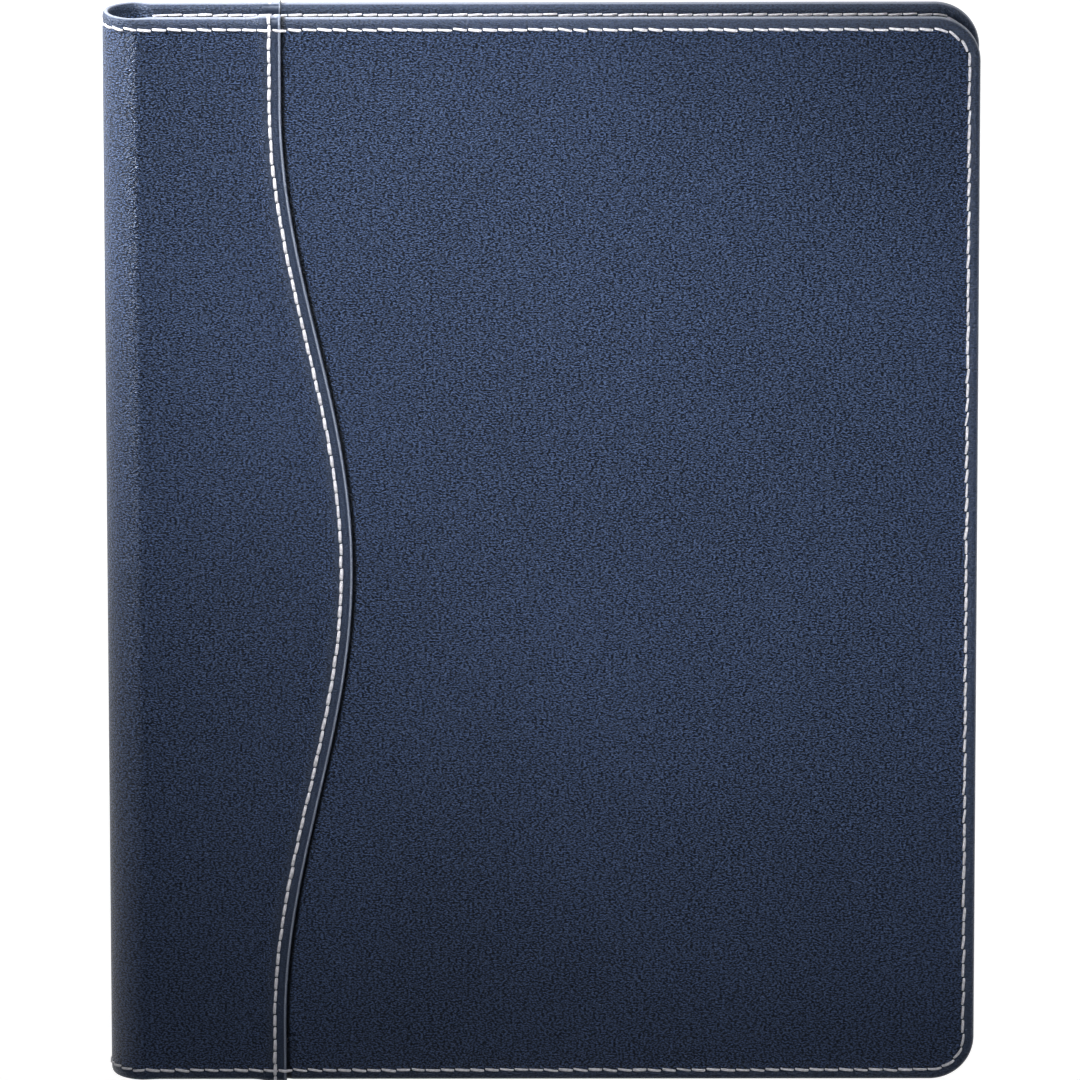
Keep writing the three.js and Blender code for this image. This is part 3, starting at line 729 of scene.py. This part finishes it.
def hole_pattern():
    """The painted shade inside one needle hole, as a small dark plug in mm that tapers into the leather."""
    bpy.ops.object.select_all(action="DESELECT")
    bpy.ops.mesh.primitive_cone_add(vertices=8, radius1=0.15, radius2=0.3, depth=0.2, location=(0, 0, -0.13))
    bpy.ops.object.transform_apply(location=True)
    return take_shape(bpy.context.object)


def along_row(surface, run, sideways, up):
    """Points at runs along a row, moved sideways and up from the leather."""
    points, normals = surface(run)
    ahead, _ = surface(run + 0.01)
    tangent = ahead - points
    tangent /= np.linalg.norm(tangent, axis=1)[:, None]
    across = np.cross(tangent, normals)
    return points + across * sideways[:, None] + normals * up[:, None]


def stitch_row(holes, surface, lean, seed, fullness=1.0):
    """Copies of the stitch from hole to hole along a row. No two are pulled quite alike."""
    chance = np.random.default_rng(seed)
    shape, loops = stitch_pattern()
    vertices, uvs, faces = [], [], []
    for first, last in zip(holes[:-1], holes[1:]):
        tilt = lean * (1 + chance.normal(0, 0.4))
        slack, swell = chance.normal(0, 0.05), fullness * (1 + chance.normal(0, 0.07))
        reach = shape[:, 0] * (1 + chance.normal(0, 0.025))
        run = (first + last) / 2 + (last - first) * reach
        sideways = shape[:, 1] * swell + tilt * reach + slack
        start = len(vertices) * len(shape)
        vertices.append(along_row(surface, run, sideways, shape[:, 2] * swell))
        uvs.append(np.stack([run - first, np.arctan2(shape[:, 1], shape[:, 2] + 0.1) * 0.27], axis=1))
        faces += [tuple(i + start for i in loop) for loop in loops]
    return np.concatenate(vertices), np.concatenate(uvs), faces


def hole_row(holes, surface):
    """Copies of the needle hole's painted shade along a row."""
    shape, loops = hole_pattern()
    vertices, faces = [], []
    for place in holes:
        start = len(vertices) * len(shape)
        vertices.append(along_row(surface, place + shape[:, 0], shape[:, 1], shape[:, 2]))
        faces += [tuple(i + start for i in loop) for loop in loops]
    vertices = np.concatenate(vertices)
    return vertices, vertices[:, :2], faces


def row_piece(name, rows, slot="thread"):
    """Joins rows of copies in one piece."""
    faces, count = [], 0
    for points, _, loops in rows:
        faces += [tuple(i + count for i in loop) for loop in loops]
        count += len(points)
    mesh = bpy.data.meshes.new(name)
    mesh.from_pydata((np.concatenate([row[0] for row in rows]) * MM).tolist(), [], faces)
    lay_cut(mesh, np.concatenate([row[1] for row in rows]))
    piece = bpy.data.objects.new(name, mesh)
    bpy.context.scene.collection.objects.link(piece)
    point_outward(piece)
    bpy.ops.object.shade_smooth()
    dress(piece, slot)
    return piece


def ridge_height(side, x, y):
    ridge = np.array(RIDGE)[:RIDGE_LIP]
    scale = BACK_SEAM if side == "back" else 1.0
    return scale * np.interp(x - seam_x(y), ridge[:, 0], ridge[:, 1], left=0, right=0)


def flat_row(side, lengths, line, depth, out):
    """A function that gives points and normals of a row at runs along it, on a face of a cover. Depth
    is a function of x and y, and out is 1 for the inner face and -1 for the outer one."""
    def at(run):
        x, y = (np.interp(run, lengths, axis) for axis in line.T)
        points = upright(side, x, y, depth(x, y))
        normals = np.zeros_like(points)
        normals[:, 2] = out if side == "back" else -out
        return points, normals

    return at


def edge_surface(side, inside):
    """The edge row as such a function, its pitch and its length. Its line is 1 mm longer at both ends,
    for the slope of the last stitches."""
    outline, inward, lengths, pitch = cover_stations()
    line = outline + inward * STITCH_INSET
    line = np.concatenate([line[:1] - [[1, 0]], line, line[-1:] - [[1, 0]]])
    total = lengths[-1]
    lengths = np.concatenate([[-1], lengths, [total + 1]])
    if inside:
        at = flat_row(side, lengths, line, lambda x, y: np.full_like(x, COVER_THICKNESS - INNER_CHANNEL), 1.0)
    else:
        at = flat_row(side, lengths, line, lambda x, y: CHANNEL - ridge_height(side, x, y), -1.0)
    return at, pitch, total


def spine_surface(side, end):
    """The same function for the stitches round the spine at the head (1) or the tail (-1), where runs
    are negative."""
    channel = CHANNEL * SPINE_EDGE_THICKNESS / COVER_THICKNESS

    def at(run):
        turn = -run / SPINE_RADIUS
        x, z = bend(run, np.full_like(run, channel))
        points = upright(side, x, np.full_like(run, end * (HALF_HEIGHT - STITCH_INSET)), z)
        out = -np.cos(turn) if side == "back" else np.cos(turn)
        return points, np.stack([-np.sin(turn), 0 * turn, out], axis=1)

    return at


def seam_surface(side):
    """The same for the row along the curved seam, which goes on over both turned edges."""
    rows = wrap_rows()
    rows = rows[np.argsort(rows[:, 4])]
    height = -0.15 if side == "back" else 0.29  # of the row above the plain leather

    def at(run):
        y, depth, out_y, out_depth = (np.interp(run, rows[:, 4], rows[:, i]) for i in range(4))
        x = seam_x(y)
        points = upright(side, x, y + height * out_y, depth + height * out_depth)
        normals = np.stack([0 * y, out_y, out_depth if side == "back" else -out_depth], axis=1)
        normals /= np.linalg.norm(normals, axis=1)[:, None]
        return points, normals

    return at


SIDES = [("front", "Front", ""), ("back", "Back", "")]


class JOURNAL_OT_cover_leather(bpy.types.Operator):
    """Leather of one cover: the plain panel and the spine wrap with its folded seam"""
    bl_idname = "journal.cover_leather"
    bl_label = "Cover Leather"
    side: bpy.props.EnumProperty(items=SIDES, name="Side")

    def execute(self, context):
        panel_skin(self.side)
        wrap_skin(self.side)
        return {"FINISHED"}


class JOURNAL_OT_stitching(bpy.types.Operator):
    """Stitches of one cover: round the edges on both faces, over the spine and along the curved seam"""
    bl_idname = "journal.stitching"
    bl_label = "Stitching"
    side: bpy.props.EnumProperty(items=SIDES, name="Side")

    def execute(self, context):
        side = self.side
        sizes = context.scene.journal_sizes
        lean = LEAN if side == "front" else -LEAN
        at, pitch, total = edge_surface(side, inside=False)
        edge_holes = np.arange(0, total + 0.1, pitch)
        spine_holes = -np.arange(0, sizes.spine_stitches + 1) * (HALF_ARC / sizes.spine_stitches)
        ends = [(end, spine_surface(side, end)) for end in (1, -1)]
        rows = [stitch_row(edge_holes, at, lean, 11, EDGE_FULLNESS)]
        rows += [stitch_row(spine_holes, round_spine, -lean * end, 12 + end) for end, round_spine in ends]
        edge = row_piece(f"{side}_edge_stitches", rows)
        blend_over_spine(edge, side)
        names = [f"{side}_edge_thread"] + (["spine_thread_head", "spine_thread_tail"] if side == "front" else [])
        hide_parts(*names)
        # Painted shade in the needle holes of the edge rows and round the spine
        plugs = [hole_row(edge_holes, at)] + [hole_row(spine_holes[1:], round_spine) for _, round_spine in ends]
        shade_plugs = row_piece(f"{side}_edge_needle_hole_shade", plugs, "leatherette")
        shade_plugs.data.materials[0] = hole_shade_material()
        blend_over_spine(shade_plugs, side)

        at, pitch, total = edge_surface(side, inside=True)
        inner_holes = np.arange(pitch, total - pitch + 0.1, pitch)
        inner = row_piece(f"{side}_edge_bobbin_stitches", [stitch_row(inner_holes, at, lean * 0.5, 21)])
        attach(inner, f"{side}_cover")
        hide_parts(f"{side}_edge_bobbin_thread")

        at = seam_surface(side)
        count = int((HALF_HEIGHT + COVER_THICKNESS) / sizes.seam_pitch)
        seam_holes = np.arange(-count, count + 1) * sizes.seam_pitch
        seam = row_piece(f"{side}_seam_stitches", [stitch_row(seam_holes, at, lean * 0.3, 31, SEAM_FULLNESS)])
        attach(seam, f"{side}_cover")
        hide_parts(f"{side}_seam_thread")
        # Painted shade in the holes on the outer face only, not the three at each end that are round the edge
        shade_plugs = row_piece(f"{side}_seam_needle_hole_shade", [hole_row(seam_holes[3:-3], at)], "leatherette")
        shade_plugs.data.materials[0] = hole_shade_material()
        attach(shade_plugs, f"{side}_cover")
        return {"FINISHED"}


def box_piece(name, low, high):
    """A cube primitive set between two corners in mm, its place in its mesh."""
    bpy.ops.object.select_all(action="DESELECT")
    middle = [(a + b) / 2 * MM for a, b in zip(low, high)]
    bpy.ops.mesh.primitive_cube_add(size=1, location=middle, scale=[(b - a) * MM for a, b in zip(low, high)])
    bpy.ops.object.transform_apply(location=True, rotation=True, scale=True)
    piece = bpy.context.object
    piece.name = piece.data.name = name
    return piece


def pick(piece, mode, wanted):
    """Selects just the edges or faces of the edited piece whose corners, in mm, pass a test."""
    bpy.ops.mesh.select_mode(type=mode)
    bpy.ops.mesh.select_all(action="DESELECT")
    shape = bmesh.from_edit_mesh(piece.data)
    for part in (shape.edges if mode == "EDGE" else shape.faces):
        part.select = wanted([corner.co / MM for corner in part.verts])
    bmesh.update_edit_mesh(piece.data)


def round_corners(piece, radius, wanted, steps=8):
    """Bevels the upright edges of a box that pass a test."""
    select_only(piece)
    bpy.ops.object.mode_set(mode="EDIT")
    pick(piece, "EDGE", lambda c: abs(c[0].x - c[1].x) < 0.01 and abs(c[0].y - c[1].y) < 0.01 and wanted(c[0]))
    bpy.ops.mesh.bevel(offset=radius * MM, segments=steps)
    bpy.ops.object.mode_set(mode="OBJECT")


def finish_piece(piece, slot, angle=40):
    """Points a piece's faces outwards, lays its cut straight down on its plan, smooths and dresses it."""
    point_outward(piece)
    lay_cut(piece.data, np.array([v.co.xy for v in piece.data.vertices]))
    smooth_faces(piece, angle)
    dress(piece, slot)


class JOURNAL_OT_lining(bpy.types.Operator):
    """Woven lining on the inside of one cover and round its half of the spine"""
    bl_idname = "journal.lining"
    bl_label = "Lining"
    side: bpy.props.EnumProperty(items=SIDES, name="Side")

    def execute(self, context):
        side = self.side
        face = COVER_THICKNESS - LINING_SUNK
        depths = (COVER_THICKNESS - LINING_SUNK - LINING_THICKNESS, face)
        low, high = sorted(depth if side == "back" else THICKNESS - depth for depth in depths)
        inset = TURN_IN - 0.5  # it goes a little way under the turn-in
        top = HALF_HEIGHT - inset
        piece = box_piece(f"{side}_lining_cloth", (SPINE_X + 1.4, -top, low), (FORE_X - inset, top, high))
        round_corners(piece, CORNER_RADIUS - inset, lambda corner: corner.x > 0)
        finish_piece(piece, "lining")
        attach(piece, f"{side}_cover")
        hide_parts(f"{side}_lining")

        run = np.concatenate([np.linspace(2.6, 0.4, 8), np.linspace(0, -HALF_ARC, 24)])
        sunk = SPINE_LINING_DEPTH + (face - SPINE_LINING_DEPTH) * smooth((run - 0.2) / 1.3)
        rows = np.linspace(-top, top, 60)[:, None]
        x, z = bend(run, sunk)
        ripple = 0.12 * np.sin(rows / 9.0) * smooth(-run / 4)
        points = upright(side, x + ripple, rows, np.tile(z, (len(rows), 1)))
        cut = np.stack([np.tile(run + SPINE_X, (len(rows), 1)), np.tile(rows, len(run))], axis=-1)
        spine = sheet_piece(f"spine_lining_cloth_{side}", side, points, cut, 0.15, "lining")
        blend_over_spine(spine, side)
        if side == "front":
            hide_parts("spine_lining")
        return {"FINISHED"}


def sewn_pocket(name, low, high, rounded, radius, side):
    """A pocket of lining: a thin box with rounded corners, whose border is folded under all round and
    pressed by a channel that the stitches lie in."""
    piece = box_piece(name, low, high)
    round_corners(piece, radius, rounded)
    face, lift = (high[2], -1) if side == "back" else (low[2], 1)
    bpy.ops.object.mode_set(mode="EDIT")
    pick(piece, "FACE", lambda c: all(abs(v.z - face) < 0.01 for v in c))
    for border, drop in ((0.25, 0), (0.85, 0), (0.35, POCKET_CHANNEL), (0.15, 0), (0.35, -POCKET_CHANNEL)):
        bpy.ops.mesh.inset(thickness=border * MM, depth=0)
        bpy.ops.transform.translate(value=(0, 0, lift * drop * MM))
    bpy.ops.object.mode_set(mode="OBJECT")
    modifier = piece.modifiers.new("Bevel", "BEVEL")
    modifier.width, modifier.segments, modifier.angle_limit = 0.12 * MM, 2, math.radians(50)
    select_only(piece)
    bpy.ops.object.modifier_apply(modifier=modifier.name)
    finish_piece(piece, "lining")
    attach(piece, f"{side}_cover")
    return piece


class JOURNAL_OT_back_sleeve(bpy.types.Operator):
    """Sleeve on the back cover that holds the refill's card, with its stitches"""
    bl_idname = "journal.back_sleeve"
    bl_label = "Back Sleeve"

    def execute(self, context):
        top = HALF_HEIGHT - SLEEVE_INSET
        right = FORE_X - SLEEVE_INSET
        radius = CORNER_RADIUS - SLEEVE_INSET
        corners = [(SLEEVE_LEFT, top, 0), (right, top, radius), (right, -top, radius), (SLEEVE_LEFT, -top, 0)]
        piece = sewn_pocket(
            "back_sleeve_cloth", (SLEEVE_LEFT, -top, COVER_THICKNESS + POCKET_GAP), (right, top, SLEEVE_DEPTH),
            lambda corner: corner.x > 0, radius, "back")
        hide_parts("back_sleeve")
        thread = border_stitches("back", corners, SLEEVE_DEPTH, "back_sleeve_stitches")
        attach(thread, "back_cover")
        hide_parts("back_sleeve_thread")
        return {"FINISHED"}


def border_stitches(side, corners, depth, name):
    """The stitches along a pocket's sewn sides; its face is at the depth in its cover."""
    outline, inward, lengths = stations(corners, 0.8, POCKET_STITCH_INSET)
    line = outline + inward * POCKET_STITCH_INSET
    at = flat_row(side, lengths, line, lambda x, y: np.full_like(x, depth - POCKET_THREAD_DEPTH), 1.0)
    pitch = bpy.context.scene.journal_sizes.edge_pitch
    count = round((lengths[-1] - 1) / pitch)
    return row_piece(name, [stitch_row(np.linspace(0.5, lengths[-1] - 0.5, count + 1), at, LEAN / 2, 41)])


class JOURNAL_OT_front_pocket(bpy.types.Operator):
    """Document pocket inside the front cover, open towards the head, with its stitches"""
    bl_idname = "journal.front_pocket"
    bl_label = "Front Pocket"

    def execute(self, context):
        right = FORE_X - SLEEVE_INSET
        bottom = SLEEVE_INSET - HALF_HEIGHT
        corners = [(right, POCKET_MOUTH, 0), (right, bottom, CORNER_RADIUS - SLEEVE_INSET),
                   (POCKET_LEFT, bottom, 1.6), (POCKET_LEFT, POCKET_MOUTH, 0)]
        piece = sewn_pocket(
            "front_pocket_cloth", (POCKET_LEFT, bottom, THICKNESS - POCKET_DEPTH),
            (right, POCKET_MOUTH, THICKNESS - COVER_THICKNESS - POCKET_GAP),
            lambda corner: corner.x > 0 and corner.y < 0, CORNER_RADIUS - SLEEVE_INSET, "front")
        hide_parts("front_pocket")
        thread = border_stitches("front", corners, POCKET_DEPTH, "front_pocket_stitches")
        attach(thread, "front_cover")
        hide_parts("front_pocket_thread")
        return {"FINISHED"}


class JOURNAL_OT_refill(bpy.types.Operator):
    """The refill's signatures with the edges of their leaves, its cards and its binding tape"""
    bl_idname = "journal.refill"
    bl_label = "Refill"

    def execute(self, context):
        for number in range(1, 7):
            self.signature(number)
        dressed = {"refill_back_card": "card", "refill_front_card": "card", "refill_tape_back": "tape",
                   "refill_tape_front": "tape", "front_board": "greyboard", "back_board": "greyboard"}
        for name, slot in dressed.items():
            for held in frame["nodes"][name].material_slots:
                held.material = material_for(slot)
        return {"FINISHED"}

    def signature(self, number):
        """One leaf is modelled and copied; the copies lie a little out of line, as cut sheets do."""
        low, high = (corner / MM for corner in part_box(f"signature_{number}"))
        chance = np.random.default_rng(60 + number)
        pitch = (high.z - low.z) / LEAVES
        leaf = box_piece(f"signature_{number}_leaves", low, (high.x, high.y, low.z + pitch * 0.93))
        round_corners(leaf, LEAF_CORNER_RADIUS, lambda corner: corner.x > 0)
        copies = []
        for step in range(1, LEAVES):
            copy = leaf.copy()
            copy.data = leaf.data.copy()
            bpy.context.scene.collection.objects.link(copy)
            copy.location = Vector((chance.uniform(-0.16, 0), chance.uniform(-0.1, 0.1), step * pitch)) * MM
            copies.append(copy)
        select_only(leaf)
        for copy in copies:
            copy.select_set(True)
        bpy.ops.object.join()
        finish_piece(leaf, "paper", 30)
        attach(leaf, "back_cover" if number > 3 else f"signature_{number}")
        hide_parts(f"signature_{number}")


# Stage

CAMERA_TILT = 17.4  # degrees from straight above, towards the head
CAMERA_DISTANCE = 3.5
CAMERA_ROLL = -0.06
SENSOR_WIDTH = 36
VIEW_WIDTH = 228.6 * MM  # width that the picture takes in, at the journal
LOOK_AT = (-0.38, 1.05, 7.3)
FLOOR = -0.5  # just under the back cover's stitches, which the journal lies on
# Name, place and aim in metres, size, power in watts and, under 180 degrees, the spread of a honeycomb
LAMPS = (
    ("overhead_softbox", (0, 0.5, 1.0), (0, 0.1, 0), (0.8, 0.6), 0.4, 180),
    ("head_key", (0.03, 0.18, 0.42), (0.03, 0.07, 0), (0.2, 0.16), 0.092, 44),
    ("fore_key", (0.1, 0.08, 0.42), (0.06, 0.01, 0), (0.2, 0.2), 0.083, 44),
    ("corner_key", (-0.1, 0.3, 0.16), (-0.06, 0.11, 0), (0.12, 0.12), 0.092, 50),
    ("left_key", (-0.31, 0.1, 0.6), (-0.29, 0, 0), (0.2, 0.2), 0.14, 35),
    # Lower than the cover's face, so that it lights the spine and the edges alone
    ("spine_strip", (-0.3, 0.24, 0.0075), (-0.09, 0.12, 0.0075), (0.1, 0.014), 0.155, 50),
)


def area_light(name, place, aim, size, power, spread):
    """A softbox, or one with a honeycomb in front, which lights a pool."""
    light = bpy.data.lights.new(name, "AREA")
    light.shape = "RECTANGLE"
    light.size, light.size_y = size
    light.energy = power
    light.spread = math.radians(spread)
    holder = bpy.data.objects.new(name, light)
    bpy.context.scene.collection.objects.link(holder)
    holder.location = place
    holder.rotation_euler = (Vector(aim) - Vector(place)).to_track_quat("-Z", "Y").to_euler()


class JOURNAL_OT_stage(bpy.types.Operator):
    """White floor, soft studio lamps and the camera"""
    bl_idname = "journal.stage"
    bl_label = "Stage"

    def execute(self, context):
        scene = context.scene
        scene.view_settings.view_transform = "Standard"
        camera = bpy.data.cameras.new("camera")
        holder = bpy.data.objects.new("camera", camera)
        scene.collection.objects.link(holder)
        scene.camera = holder
        tilt = math.radians(CAMERA_TILT)
        target = Vector(LOOK_AT) * MM
        holder.location = target + CAMERA_DISTANCE * Vector((0, math.sin(tilt), math.cos(tilt)))
        holder.rotation_euler = (-tilt, 0, 0)
        holder.rotation_euler.rotate_axis("Z", math.radians(CAMERA_ROLL))
        camera.sensor_width = SENSOR_WIDTH
        camera.lens = SENSOR_WIDTH * CAMERA_DISTANCE / VIEW_WIDTH
        camera.clip_end = 20

        # The floor shines for the camera and in reflections, and sends no other light to the journal
        bpy.ops.object.select_all(action="DESELECT")
        bpy.ops.mesh.primitive_plane_add(size=12, location=(0, 0, FLOOR * MM))
        floor = context.object
        floor.name = "floor"
        bpy.ops.object.transform_apply(location=True)
        material, tree = new_material("white_paper_sweep")
        rays = node(tree, "LightPath").outputs
        seen = reckon(tree, "MAXIMUM", rays["Is Camera Ray"], rays["Is Glossy Ray"])
        seen = reckon(tree, "MAXIMUM", seen, rays["Is Transmission Ray"])
        matt = node(tree, "BsdfDiffuse", inputs={"Color": (0.3, 0.3, 0.3, 1)})
        glow = node(tree, "Emission", inputs={"Color": (1, 1, 1, 1), "Strength": 0.95})
        none = node(tree, "Emission", inputs={"Strength": 0.0})
        chosen = node(tree, "MixShader", inputs={0: seen, 1: none.outputs[0], 2: glow.outputs[0]})
        output(tree, node(tree, "AddShader", inputs={0: matt.outputs[0], 1: chosen.outputs[0]}))
        floor.data.materials.append(material)

        world = bpy.data.worlds.new("studio")
        scene.world = world
        world.use_nodes = True
        sky = world.node_tree.nodes["Background"].inputs
        sky["Color"].default_value = (0.9, 0.94, 1.0, 1)
        sky["Strength"].default_value = 0.07
        for lamp in LAMPS:
            area_light(*lamp)
        return {"FINISHED"}


class JOURNAL_PT_parts(bpy.types.Panel):
    """Shows the journal's sizes, colours and steps in the sidebar"""
    bl_idname = "JOURNAL_PT_parts"
    bl_label = "Journal"
    bl_space_type = "VIEW_3D"
    bl_region_type = "UI"
    bl_category = "Journal"

    def draw(self, context):
        for group in (context.scene.journal_sizes, context.scene.journal_colours):
            for name in group.bl_rna.properties.keys():
                if name not in ("rna_type", "name"):
                    self.layout.prop(group, name)
        for operator in OPERATORS:
            self.layout.operator(operator.bl_idname)


OPERATORS = (
    JOURNAL_OT_cover_leather, JOURNAL_OT_stitching, JOURNAL_OT_lining, JOURNAL_OT_back_sleeve,
    JOURNAL_OT_front_pocket, JOURNAL_OT_refill, JOURNAL_OT_stage,
)
CLASSES = (JournalSizes, JournalColours) + OPERATORS + (JOURNAL_PT_parts,)


def register():
    for item in CLASSES:
        bpy.utils.register_class(item)
    bpy.types.Scene.journal_sizes = bpy.props.PointerProperty(type=JournalSizes)
    bpy.types.Scene.journal_colours = bpy.props.PointerProperty(type=JournalColours)


def unregister():
    del bpy.types.Scene.journal_colours
    del bpy.types.Scene.journal_sizes
    for item in reversed(CLASSES):
        bpy.utils.unregister_class(item)


def main():
    register()
    bpy.ops.journal.stage()
    for side in ("front", "back"):
        bpy.ops.journal.cover_leather(side=side)
        bpy.ops.journal.stitching(side=side)
        bpy.ops.journal.lining(side=side)
    bpy.ops.journal.back_sleeve()
    bpy.ops.journal.front_pocket()
    bpy.ops.journal.refill()


if __name__ == "__main__":
    main()
